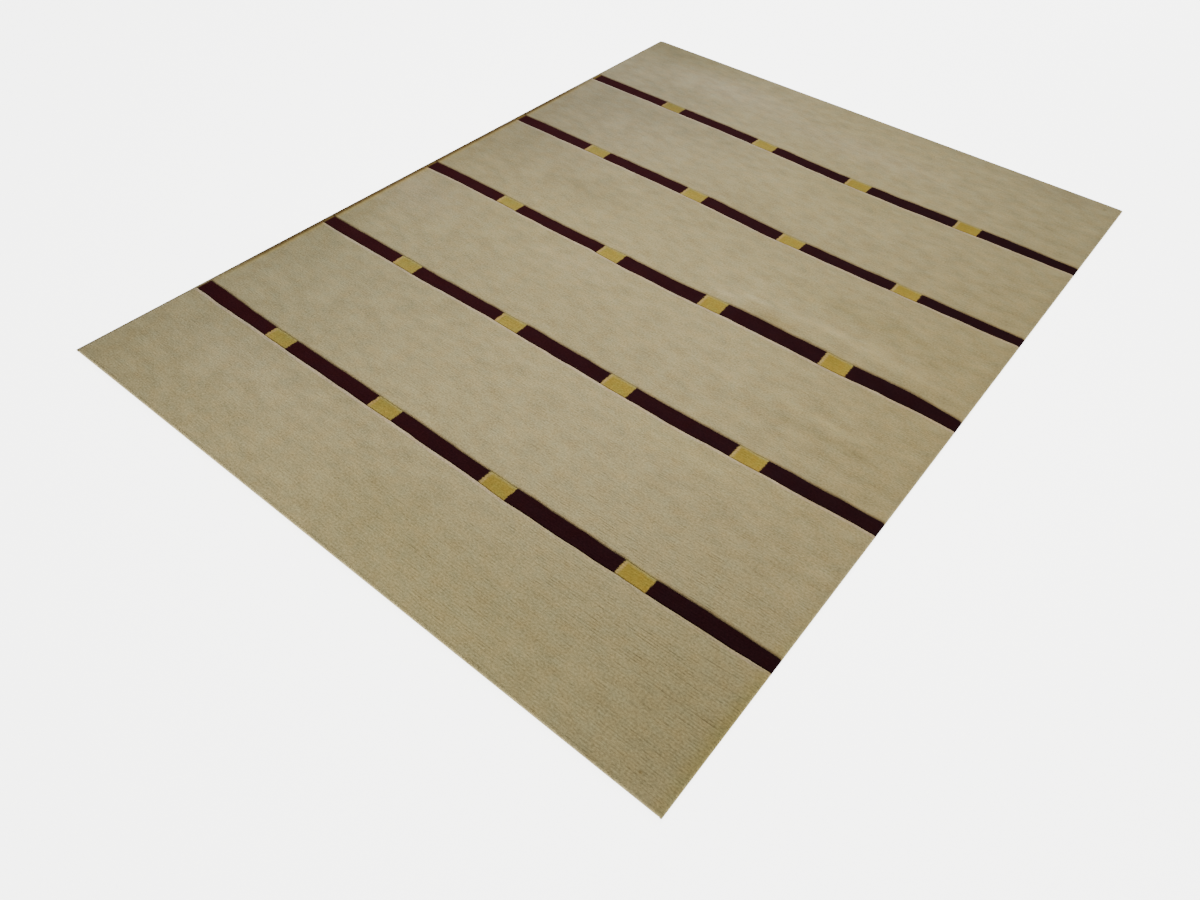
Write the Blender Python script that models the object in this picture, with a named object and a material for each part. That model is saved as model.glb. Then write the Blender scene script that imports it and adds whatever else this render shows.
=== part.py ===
"""Hand-knotted wool rug lying flat: one sheet of cut pile with five carved bands across it, and its two
overcast long sides. Units are metres, +Z is up, the short ends lie along X and the long sides along Y,
and the origin is on the floor under the middle of the rug."""

import math
from collections.abc import Callable
from typing import NamedTuple

import bmesh
import bpy
from mathutils import Vector

WIDTH = 1.768
LENGTH = 2.400
THICKNESS = 0.010
PIECE_GAP = 0.0003

# The cut pile turns down to the foundation over this distance at each side, and the rows that carry the
# turn stand at these shares of it.
PILE_TURN = 0.008
TURN_SHARES = (0.0, 0.06, 0.25, 0.55, 1.0)
END_LIP_HEIGHT = 0.0045

# The pile leans towards +X, so it overhangs the cord on the right and stands back from the one on the left.
LEFT_SETBACK = 0.0093
RIGHT_OVERHANG = 0.0060
OVERHANG_UNDERSIDE = 0.0040
LEFT_CORD_HEIGHT = 0.0060
RIGHT_CORD_WIDTH = 0.0050
RIGHT_CORD_HEIGHT = 0.0036
CORD_CORNER = 0.30

CARVING_WIDTH = 0.0050
CARVING_DEPTH = 0.0020

ROWS_IN_FIELD = (4, 5, 15, 15, 5, 4)
ROWS_IN_BAND = 3
STATIONS_ACROSS = 31
STATIONS_UNDER = 23
CORD_STATIONS = 60

WOOL_COLOUR = (0.36, 0.30, 0.19, 1.0)
CORD_COLOUR = (0.22, 0.16, 0.07, 1.0)
WOOL_ROUGHNESS = 0.95


class BandPoint(NamedTuple):
    """Where a band's two edges lie at one place across the rug."""

    x: float
    near: float
    far: float


class CrestPoint(NamedTuple):
    """One place on the crest of a ripple in the rug."""

    x: float
    y: float
    height: float


class Ripple(NamedTuple):
    """A low ripple: its crest, and how far it reaches to each side of it."""

    crest: tuple[CrestPoint, ...]
    near_reach: float
    far_reach: float


BANDS = (
    (
        BandPoint(x=-0.884, near=-0.870, far=-0.827),
        BandPoint(x=-0.600, near=-0.872, far=-0.834),
        BandPoint(x=-0.150, near=-0.873, far=-0.832),
        BandPoint(x=0.120, near=-0.874, far=-0.835),
        BandPoint(x=0.250, near=-0.877, far=-0.832),
        BandPoint(x=0.600, near=-0.869, far=-0.829),
        BandPoint(x=0.720, near=-0.865, far=-0.825),
        BandPoint(x=0.884, near=-0.859, far=-0.823),
    ),
    (
        BandPoint(x=-0.884, near=-0.455, far=-0.415),
        BandPoint(x=-0.680, near=-0.459, far=-0.417),
        BandPoint(x=-0.400, near=-0.458, far=-0.418),
        BandPoint(x=-0.220, near=-0.455, far=-0.416),
        BandPoint(x=-0.100, near=-0.457, far=-0.412),
        BandPoint(x=0.100, near=-0.459, far=-0.415),
        BandPoint(x=0.350, near=-0.462, far=-0.415),
        BandPoint(x=0.500, near=-0.456, far=-0.412),
        BandPoint(x=0.620, near=-0.452, far=-0.408),
        BandPoint(x=0.884, near=-0.443, far=-0.402),
    ),
    (
        BandPoint(x=-0.884, near=-0.051, far=-0.009),
        BandPoint(x=-0.800, near=-0.046, far=-0.006),
        BandPoint(x=-0.550, near=-0.047, far=-0.006),
        BandPoint(x=-0.380, near=-0.051, far=-0.009),
        BandPoint(x=-0.200, near=-0.049, far=-0.009),
        BandPoint(x=-0.100, near=-0.055, far=-0.007),
        BandPoint(x=0.160, near=-0.057, far=-0.009),
        BandPoint(x=0.240, near=-0.052, far=-0.005),
        BandPoint(x=0.600, near=-0.050, far=-0.004),
        BandPoint(x=0.780, near=-0.044, far=-0.001),
        BandPoint(x=0.884, near=-0.045, far=-0.006),
    ),
    (
        BandPoint(x=-0.884, near=0.361, far=0.401),
        BandPoint(x=-0.740, near=0.362, far=0.405),
        BandPoint(x=-0.550, near=0.361, far=0.402),
        BandPoint(x=-0.300, near=0.360, far=0.403),
        BandPoint(x=-0.100, near=0.355, far=0.401),
        BandPoint(x=0.120, near=0.343, far=0.386),
        BandPoint(x=0.420, near=0.344, far=0.386),
        BandPoint(x=0.620, near=0.348, far=0.387),
        BandPoint(x=0.884, near=0.353, far=0.388),
    ),
    (
        BandPoint(x=-0.884, near=0.768, far=0.810),
        BandPoint(x=-0.600, near=0.769, far=0.809),
        BandPoint(x=-0.300, near=0.766, far=0.808),
        BandPoint(x=-0.100, near=0.760, far=0.801),
        BandPoint(x=0.120, near=0.750, far=0.792),
        BandPoint(x=0.350, near=0.748, far=0.793),
        BandPoint(x=0.620, near=0.755, far=0.799),
        BandPoint(x=0.884, near=0.759, far=0.795),
    ),
)

RIPPLES = (
    Ripple(
        crest=(
            CrestPoint(x=0.060, y=0.005, height=0.0),
            CrestPoint(x=0.160, y=0.015, height=0.006),
            CrestPoint(x=0.280, y=0.040, height=0.012),
            CrestPoint(x=0.500, y=0.045, height=0.013),
            CrestPoint(x=0.740, y=0.040, height=0.011),
            CrestPoint(x=0.880, y=0.030, height=0.0),
        ),
        near_reach=0.120,
        far_reach=0.080,
    ),
    Ripple(
        crest=(
            CrestPoint(x=0.300, y=-0.245, height=0.0),
            CrestPoint(x=0.520, y=-0.250, height=0.003),
            CrestPoint(x=0.800, y=-0.247, height=0.003),
            CrestPoint(x=0.880, y=-0.245, height=0.0),
        ),
        near_reach=0.055,
        far_reach=0.055,
    ),
)


def between(points: tuple[BandPoint, ...] | tuple[CrestPoint, ...], field: str, x: float) -> float:
    """Reads one field of a table of points at x, in straight runs from point to point."""
    if x <= points[0].x:
        return getattr(points[0], field)
    for first, second in zip(points, points[1:]):
        if x <= second.x:
            share = (x - first.x) / (second.x - first.x)
            return getattr(first, field) * (1 - share) + getattr(second, field) * share
    return getattr(points[-1], field)


def lift_at(x: float, y: float) -> float:
    """Returns how far the ripples raise the rug off the floor at one place."""
    lift = 0.0
    for ripple in RIPPLES:
        offset = y - between(ripple.crest, "y", x)
        reach = ripple.far_reach if offset > 0 else ripple.near_reach
        if abs(offset) < reach:
            swell = 0.5 + 0.5 * math.cos(math.pi * offset / reach)
            lift += between(ripple.crest, "height", x) * swell
    return lift


def turn_down(distance: float) -> float:
    """Returns how much of the pile's height is left at a distance in from its edge, from 0 to 1."""
    share = min(distance / PILE_TURN, 1.0)
    return math.sqrt(1 - (1 - share) ** 2)


def row_offsets() -> tuple[float, ...]:
    """Returns the distances in from an edge that carry the turned-down pile."""
    return tuple(share * PILE_TURN for share in TURN_SHARES)


RowLine = Callable[[float], float]


class Row(NamedTuple):
    """One row of the sheet: the line that it follows, its share of the pile's height and its carved depth."""

    line: RowLine
    height_share: float
    depth: float


def straight_line(y: float) -> RowLine:
    """Returns a row line that keeps one y all the way across."""
    return lambda x: y


def edge_line(band: tuple[BandPoint, ...], field: str, offset: float) -> RowLine:
    """Returns a row line that follows one edge of a band at an offset."""
    return lambda x: between(band, field, x) + offset


def part_way(first: RowLine, second: RowLine, share: float) -> RowLine:
    """Returns a row line part of the way from one row line to another."""
    return lambda x: first(x) * (1 - share) + second(x) * share


def carved_rows(band: tuple[BandPoint, ...], field: str) -> list[Row]:
    """Returns the three rows of the groove carved along one edge of a band."""
    half = CARVING_WIDTH / 2
    return [
        Row(edge_line(band, field, -half), 1.0, 0.0),
        Row(edge_line(band, field, 0.0), 1.0, CARVING_DEPTH),
        Row(edge_line(band, field, half), 1.0, 0.0),
    ]


def rows_between(before: Row, after: Row, count: int) -> list[Row]:
    """Returns evenly spread level rows between two rows."""
    shares = [(number + 1) / (count + 1) for number in range(count)]
    return [Row(part_way(before.line, after.line, share), 1.0, 0.0) for share in shares]


def sheet_rows() -> list[Row]:
    """Returns every row of the sheet, from the near end to the far end."""
    near_end = [
        Row(straight_line(-LENGTH / 2 + offset), turn_down(offset), 0.0) for offset in row_offsets()
    ]
    far_end = [
        Row(straight_line(LENGTH / 2 - offset), turn_down(offset), 0.0)
        for offset in reversed(row_offsets())
    ]
    rows = near_end
    for band, field_count in zip(BANDS, ROWS_IN_FIELD):
        near_groove = carved_rows(band, "near")
        far_groove = carved_rows(band, "far")
        rows += rows_between(rows[-1], near_groove[0], field_count)
        rows += near_groove
        rows += rows_between(near_groove[-1], far_groove[0], ROWS_IN_BAND)
        rows += far_groove
    rows += rows_between(rows[-1], far_end[0], ROWS_IN_FIELD[-1])
    return rows + far_end


def spread(low: float, high: float, count: int) -> list[float]:
    """Returns evenly spread values from low to high, both included."""
    return [low + (high - low) * number / (count - 1) for number in range(count)]


def section(row: Row) -> list[Vector]:
    """Returns the closed outline of the sheet along one row: over the pile, down the right, back under."""
    left = -WIDTH / 2 + LEFT_SETBACK
    right = WIDTH / 2
    top = END_LIP_HEIGHT + (THICKNESS - END_LIP_HEIGHT) * row.height_share
    over = [(left + offset, turn_down(offset)) for offset in row_offsets()[:-1]]
    over += [
        (x, 1.0) for x in spread(left + PILE_TURN, right - PILE_TURN, STATIONS_ACROSS)
    ]
    over += [(right - offset, turn_down(offset)) for offset in reversed(row_offsets()[:-1])]
    outline = []
    for x, share in over:
        y = row.line(x)
        height = END_LIP_HEIGHT + (top - END_LIP_HEIGHT) * share
        outline.append(Vector((x, y, height - row.depth * share + lift_at(x, y))))
    foot = right - RIGHT_OVERHANG
    y = row.line(foot)
    outline.append(Vector((foot, y, OVERHANG_UNDERSIDE + lift_at(foot, y))))
    for x in reversed(spread(left, foot, STATIONS_UNDER)):
        y = row.line(x)
        outline.append(Vector((x, y, lift_at(x, y))))
    return outline


def loft(name: str, outlines: list[list[Vector]], material: bpy.types.Material) -> bpy.types.Object:
    """Joins closed outlines of equal length into one solid, and closes both ends."""
    shape = bmesh.new()
    loops = [[shape.verts.new(point) for point in outline] for outline in outlines]
    for first, second in zip(loops, loops[1:]):
        for index in range(len(first)):
            following = (index + 1) % len(first)
            shape.faces.new((first[index], first[following], second[following], second[index]))
    shape.faces.new(list(reversed(loops[0])))
    shape.faces.new(loops[-1])
    bmesh.ops.recalc_face_normals(shape, faces=shape.faces[:])
    mesh = bpy.data.meshes.new(name)
    shape.to_mesh(mesh)
    shape.free()
    mesh.materials.append(material)
    piece = bpy.data.objects.new(name, mesh)
    bpy.context.scene.collection.objects.link(piece)
    return piece


def cord_outline(low_x: float, high_x: float, height: float, y: float) -> list[Vector]:
    """Returns the eight-sided outline of an overcast edge at one place along it."""
    middle = (low_x + high_x) / 2
    lift = lift_at(middle, y)
    cut_x = CORD_CORNER * (high_x - low_x)
    cut_z = CORD_CORNER * height
    corners = (
        (low_x, cut_z),
        (low_x, height - cut_z),
        (low_x + cut_x, height),
        (high_x - cut_x, height),
        (high_x, height - cut_z),
        (high_x, cut_z),
        (high_x - cut_x, 0.0),
        (low_x + cut_x, 0.0),
    )
    return [Vector((x, y, z + lift)) for x, z in corners]


def wool(name: str, colour: tuple[float, ...]) -> bpy.types.Material:
    """Returns a matt wool material of one colour."""
    material = bpy.data.materials.new(name)
    material.use_nodes = True
    shader = material.node_tree.nodes["Principled BSDF"]
    shader.inputs["Base Color"].default_value = colour
    shader.inputs["Roughness"].default_value = WOOL_ROUGHNESS
    shader.inputs["Metallic"].default_value = 0.0
    return material


def build_body() -> None:
    """Builds the knotted sheet, foundation and pile in one."""
    loft("rug_body", [section(row) for row in sheet_rows()], wool("pile", WOOL_COLOUR))


def build_cords() -> None:
    """Builds the overcast edge along each long side."""
    cord = wool("overcast", CORD_COLOUR)
    stations = spread(-LENGTH / 2, LENGTH / 2, CORD_STATIONS)
    left = -WIDTH / 2
    left_outlines = [
        cord_outline(left, left + LEFT_SETBACK - PIECE_GAP, LEFT_CORD_HEIGHT, y) for y in stations
    ]
    loft("selvedge_left", left_outlines, cord)
    right = WIDTH / 2 - RIGHT_OVERHANG + PIECE_GAP
    right_outlines = [
        cord_outline(right, right + RIGHT_CORD_WIDTH, RIGHT_CORD_HEIGHT, y)
        for y in stations
    ]
    loft("selvedge_right", right_outlines, cord)


def main() -> None:
    """Clears the scene and builds the rug."""
    for old in list(bpy.data.objects):
        bpy.data.objects.remove(old)
    build_body()
    build_cords()


main()
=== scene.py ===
"""Looks of the hand-knotted wool rug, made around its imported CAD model.

The rug is a knotted foundation sheet, eleven sections of cut pile that stand on it (six beige fields and
five dark and gold bands, parted by carved grooves), and the yarn wrapped over its two long sides. Units
are metres, +Z is up, the bands run along X and the rug's length runs along Y.
"""

import logging
import math
from dataclasses import dataclass, field
from enum import Enum
from typing import NamedTuple

import bpy
import numpy as np
from mathutils import Matrix, Vector


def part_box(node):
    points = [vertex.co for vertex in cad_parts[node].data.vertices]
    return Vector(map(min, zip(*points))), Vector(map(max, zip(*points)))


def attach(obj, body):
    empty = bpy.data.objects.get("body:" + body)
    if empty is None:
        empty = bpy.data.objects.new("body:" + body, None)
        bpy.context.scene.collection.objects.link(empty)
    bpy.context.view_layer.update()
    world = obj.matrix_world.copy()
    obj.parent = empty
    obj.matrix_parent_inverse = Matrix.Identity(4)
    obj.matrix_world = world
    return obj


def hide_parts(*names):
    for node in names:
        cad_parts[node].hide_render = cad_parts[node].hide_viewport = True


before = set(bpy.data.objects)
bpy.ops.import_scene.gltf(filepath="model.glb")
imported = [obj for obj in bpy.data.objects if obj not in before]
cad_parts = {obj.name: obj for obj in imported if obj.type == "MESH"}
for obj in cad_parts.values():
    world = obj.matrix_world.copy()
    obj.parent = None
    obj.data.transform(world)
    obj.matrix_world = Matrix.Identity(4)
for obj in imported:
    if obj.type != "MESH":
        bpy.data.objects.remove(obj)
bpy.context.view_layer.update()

BODY = "root"
LOG = logging.getLogger("rug")

# The knotted body's corners, with the ripples' height in the upper one.
BODY_LOW, BODY_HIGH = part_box("rug_body")

PILE_TOP = 0.010
LIP_HEIGHT = 0.0045
PILE_TURN = 0.008
FOUNDATION_TOP = 0.0040
PILE_FOOT = 0.0037
FOUNDATION_INSET = 0.0003
OVERHANG = 0.0060
ROW_PITCH = 0.0058

# The long sides' ochre, partly painted shade, is darkest around this place. It pales from the first of the
# two distances away from it, and is fully pale from the second.
DARK_SIDE_MIDDLE = -0.030
DARK_SIDE_FADES_FROM = 0.58
DARK_SIDE_FADED_AT = 0.90

# The distance that stands for no carved groove nearby.
NO_GROOVE = 0.1

# Turned-down sides and shoulders have points at these shares of their reach, and the even rows keep this
# many times a shoulder's depth away from its line.
TURN_SHARES = (0.0, 0.03, 0.12, 0.28, 0.52)
SHOULDER_SHARES = (0.0, 0.04, 0.15, 0.35, 0.65)
CLEAR_OF_SHOULDER = 1.3

# The rows lie open from these lines on, fully so after these distances, and a little in places all over.
WORN_FROM_X, WORN_OVER_X = -0.05, 0.5
WORN_FROM_Y, WORN_OVER_Y = -0.55, 0.3
CORNER_WEAR = 0.35
WEAR_ELSEWHERE = 0.25

# The first seed of the bands' edges, and the step from one band's seeds to the next.
EDGE_SEEDS = {"near": 104, "far": 103}
SEEDS_A_BAND = 10

Colour = tuple[float, float, float]
Socket = bpy.types.NodeSocket
Signal = Socket | float | tuple
Material = bpy.types.Material
Piece = bpy.types.Object
Tree = bpy.types.NodeTree


class BandPoint(NamedTuple):
    """Where a band's two edges lie at one place across the rug."""

    x: float
    near: float
    far: float


class CrestPoint(NamedTuple):
    """One place on the crest of a ripple."""

    x: float
    y: float
    height: float


class Ripple(NamedTuple):
    """A low ripple: its crest, and how far it reaches to each side of it."""

    crest: tuple[CrestPoint, ...]
    near_reach: float
    far_reach: float


class Dash(NamedTuple):
    """One gold block of a band: where it starts and ends across the rug."""

    start: float
    end: float


class SoftPatch(NamedTuple):
    """A soft-edged place on the rug where the wool's colour is multiplied by a tint."""

    x: float
    y: float
    reach_x: float
    reach_y: float
    tint: Colour


BAND_LINES = (
    (
        BandPoint(-0.884, -0.870, -0.827),
        BandPoint(-0.600, -0.872, -0.834),
        BandPoint(-0.150, -0.873, -0.832),
        BandPoint(0.120, -0.874, -0.835),
        BandPoint(0.250, -0.877, -0.832),
        BandPoint(0.600, -0.869, -0.829),
        BandPoint(0.720, -0.865, -0.825),
        BandPoint(0.884, -0.859, -0.823),
    ),
    (
        BandPoint(-0.884, -0.455, -0.415),
        BandPoint(-0.680, -0.459, -0.417),
        BandPoint(-0.400, -0.458, -0.418),
        BandPoint(-0.220, -0.455, -0.416),
        BandPoint(-0.100, -0.457, -0.412),
        BandPoint(0.100, -0.459, -0.415),
        BandPoint(0.350, -0.462, -0.415),
        BandPoint(0.500, -0.456, -0.412),
        BandPoint(0.620, -0.452, -0.408),
        BandPoint(0.884, -0.443, -0.402),
    ),
    (
        BandPoint(-0.884, -0.051, -0.009),
        BandPoint(-0.800, -0.046, -0.006),
        BandPoint(-0.550, -0.047, -0.006),
        BandPoint(-0.380, -0.051, -0.009),
        BandPoint(-0.200, -0.049, -0.009),
        BandPoint(-0.100, -0.055, -0.007),
        BandPoint(0.160, -0.057, -0.009),
        BandPoint(0.240, -0.052, -0.005),
        BandPoint(0.600, -0.050, -0.004),
        BandPoint(0.780, -0.044, -0.001),
        BandPoint(0.884, -0.045, -0.006),
    ),
    (
        BandPoint(-0.884, 0.361, 0.401),
        BandPoint(-0.740, 0.362, 0.405),
        BandPoint(-0.550, 0.361, 0.402),
        BandPoint(-0.300, 0.360, 0.403),
        BandPoint(-0.100, 0.355, 0.401),
        BandPoint(0.120, 0.343, 0.386),
        BandPoint(0.420, 0.344, 0.386),
        BandPoint(0.620, 0.348, 0.387),
        BandPoint(0.884, 0.353, 0.388),
    ),
    (
        BandPoint(-0.884, 0.768, 0.810),
        BandPoint(-0.600, 0.769, 0.809),
        BandPoint(-0.300, 0.766, 0.808),
        BandPoint(-0.100, 0.760, 0.801),
        BandPoint(0.120, 0.750, 0.792),
        BandPoint(0.350, 0.748, 0.793),
        BandPoint(0.620, 0.755, 0.799),
        BandPoint(0.884, 0.759, 0.795),
    ),
)

BAND_DASHES = (
    (Dash(-0.584, -0.505), Dash(-0.205, -0.127), Dash(0.153, 0.230), Dash(0.523, 0.600)),
    (Dash(-0.575, -0.499), Dash(-0.197, -0.121), Dash(0.157, 0.233), Dash(0.525, 0.601)),
    (Dash(-0.575, -0.498), Dash(-0.188, -0.114), Dash(0.159, 0.227), Dash(0.521, 0.595)),
    (Dash(-0.572, -0.495), Dash(-0.189, -0.115), Dash(0.161, 0.235), Dash(0.522, 0.597)),
    (Dash(-0.564, -0.489), Dash(-0.189, -0.112), Dash(0.161, 0.236), Dash(0.522, 0.595)),
)

# How far the ochre of the left side runs in over each band's end.
OCHRE_ENDS = (0.001, 0.006, 0.006, 0.009, 0.009)

RIPPLES = (
    Ripple(
        crest=(
            CrestPoint(0.060, 0.005, 0.0),
            CrestPoint(0.160, 0.015, 0.006),
            CrestPoint(0.280, 0.040, 0.012),
            CrestPoint(0.500, 0.045, 0.013),
            CrestPoint(0.740, 0.040, 0.011),
            CrestPoint(0.880, 0.030, 0.0),
        ),
        near_reach=0.120,
        far_reach=0.080,
    ),
    Ripple(
        crest=(
            CrestPoint(0.300, -0.245, 0.0),
            CrestPoint(0.520, -0.250, 0.003),
            CrestPoint(0.800, -0.247, 0.003),
            CrestPoint(0.880, -0.245, 0.0),
        ),
        near_reach=0.055,
        far_reach=0.055,
    ),
)


def lift_at(x: np.ndarray, y: np.ndarray) -> np.ndarray:
    """Works out how far the ripples raise the rug off the floor.

    Args:
        x: Places across the rug.
        y: Places along the rug, in the same shape.

    Returns:
        The lift at each place.
    """
    lift = np.zeros(np.broadcast(x, y).shape)
    for ripple in RIPPLES:
        places = [point.x for point in ripple.crest]
        offset = y - np.interp(x, places, [point.y for point in ripple.crest])
        reach = np.where(offset > 0, ripple.far_reach, ripple.near_reach)
        share = np.clip(np.abs(offset) / reach, 0, 1)
        height = np.interp(x, places, [point.height for point in ripple.crest])
        lift = lift + height * (0.5 + 0.5 * np.cos(math.pi * share))
    return lift


def rounded(distance: np.ndarray, reach: float) -> np.ndarray:
    """Returns a quarter-round shoulder's height, from 0 at its foot to 1, at distances in from the foot."""
    share = np.clip(distance / reach, 0, 1)
    return np.sqrt(1 - (1 - share) ** 2)


@dataclass(frozen=True)
class Unevenness:
    """Smooth seeded noise over a plane, from -1 to 1."""

    seed: int
    cell_x: float
    cell_y: float
    lattice: int = 64

    def at(self, x: np.ndarray, y: np.ndarray) -> np.ndarray:
        """Reads the noise.

        Args:
            x: First coordinates, in the cells' unit.
            y: Second coordinates, in the same shape.

        Returns:
            The noise at each place.
        """
        values = np.random.default_rng(self.seed).uniform(-1, 1, (self.lattice, self.lattice))
        across, along = x / self.cell_x, y / self.cell_y
        column, row = np.floor(across).astype(int), np.floor(along).astype(int)
        ease_x = (across - column) ** 2 * (3 - 2 * (across - column))
        ease_y = (along - row) ** 2 * (3 - 2 * (along - row))
        wrap = self.lattice
        low = values[column % wrap, row % wrap] * (1 - ease_x)
        low = low + values[(column + 1) % wrap, row % wrap] * ease_x
        high = values[column % wrap, (row + 1) % wrap] * (1 - ease_x)
        high = high + values[(column + 1) % wrap, (row + 1) % wrap] * ease_x
        return low * (1 - ease_y) + high * ease_y


WEAR_CLOUDS = Unevenness(seed=11, cell_x=0.17, cell_y=0.11)
ROW_WANDER = Unevenness(seed=21, cell_x=0.11, cell_y=0.09)
BROAD_SWELL = Unevenness(seed=41, cell_x=0.075, cell_y=0.060)
FINE_SWELL = Unevenness(seed=51, cell_x=0.024, cell_y=0.017)


@dataclass(frozen=True)
class EdgeLine:
    """A line across the rug, through points joined by runs that sway a little as knotted rows do."""

    places: tuple[float, ...]
    offsets: tuple[float, ...]
    sway: float = 0.0
    tremble: float = 0.0
    seed: int = 0
    sway_run: float = 0.050
    tremble_run: float = 0.014

    def at(self, x: np.ndarray) -> np.ndarray:
        """Returns the line's Y at each X."""
        along = x - BODY_LOW.x
        level = np.zeros(np.shape(x))
        slow = self.sway * Unevenness(self.seed, self.sway_run, 1.0).at(along, level)
        quick = self.tremble * Unevenness(self.seed + 1, self.tremble_run, 1.0).at(along, level)
        return np.interp(x, self.places, self.offsets) + slow + quick


def band_edge(number: int, side: str) -> EdgeLine:
    """Reads one edge of a band.

    Args:
        number: Which band, from 0 at the near end.
        side: The edge's column in the table, near or far.

    Returns:
        The edge's line.
    """
    points = BAND_LINES[number]
    return EdgeLine(
        places=tuple(point.x for point in points),
        offsets=tuple(getattr(point, side) for point in points),
        sway=0.0011,
        tremble=0.0005,
        seed=EDGE_SEEDS[side] + SEEDS_A_BAND * number,
    )


def rug_end(y: float) -> EdgeLine:
    """Returns the straight line of a short end."""
    return EdgeLine((BODY_LOW.x, BODY_HIGH.x), (y, y))


def take_edit(piece: Piece) -> None:
    """Selects one piece alone, makes it active and opens it in edit mode."""
    bpy.ops.object.select_all(action="DESELECT")
    piece.select_set(True)
    bpy.context.view_layer.objects.active = piece
    bpy.ops.object.mode_set(mode="EDIT")


def mesh_points(mesh: bpy.types.Mesh) -> np.ndarray:
    """Returns a mesh's points as an array of three columns."""
    points = np.empty(len(mesh.vertices) * 3)
    mesh.vertices.foreach_get("co", points)
    return points.reshape(-1, 3)


def set_mesh_points(mesh: bpy.types.Mesh, points: np.ndarray) -> None:
    """Moves a mesh's points to new places."""
    mesh.vertices.foreach_set("co", points.ravel())
    mesh.update()


def add_uv(mesh: bpy.types.Mesh, name: str, places: np.ndarray) -> None:
    """Gives a mesh a UV map with one place for each point.

    Args:
        mesh: The mesh.
        name: The map's name.
        places: Two columns, a row for each point.
    """
    corners = np.empty(len(mesh.loops), dtype=np.int64)
    mesh.loops.foreach_get("vertex_index", corners)
    layer = mesh.uv_layers.get(name) or mesh.uv_layers.new(name=name)
    layer.uv.foreach_set("vector", places[corners].astype(np.float32).ravel())


def ride_along(piece: Piece, node: str) -> None:
    """Makes a finished piece ride on the rug's body and stand for a CAD node.

    Args:
        piece: The finished piece.
        node: The CAD node that it stands for.
    """
    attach(piece, BODY)
    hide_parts(node)


def quads(rows: int, columns: int, start: int) -> np.ndarray:
    """Returns the corners of a grid's faces, turned upwards where points run along X and then along Y."""
    first = (np.arange(rows - 1)[:, None] * columns + np.arange(columns - 1)[None, :]).ravel() + start
    return np.stack((first, first + 1, first + columns + 1, first + columns), axis=1)


class Pile(Enum):
    """Which wool a section of pile is knotted in."""

    FIELD = "beige field"
    BAND = "dark and gold band"


class Finish(Enum):
    """How a section of pile ends along one of its long lines."""

    CARVED = "cut down into a groove against the next section"
    TURNED = "turned down to the floor at the rug's end"


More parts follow.
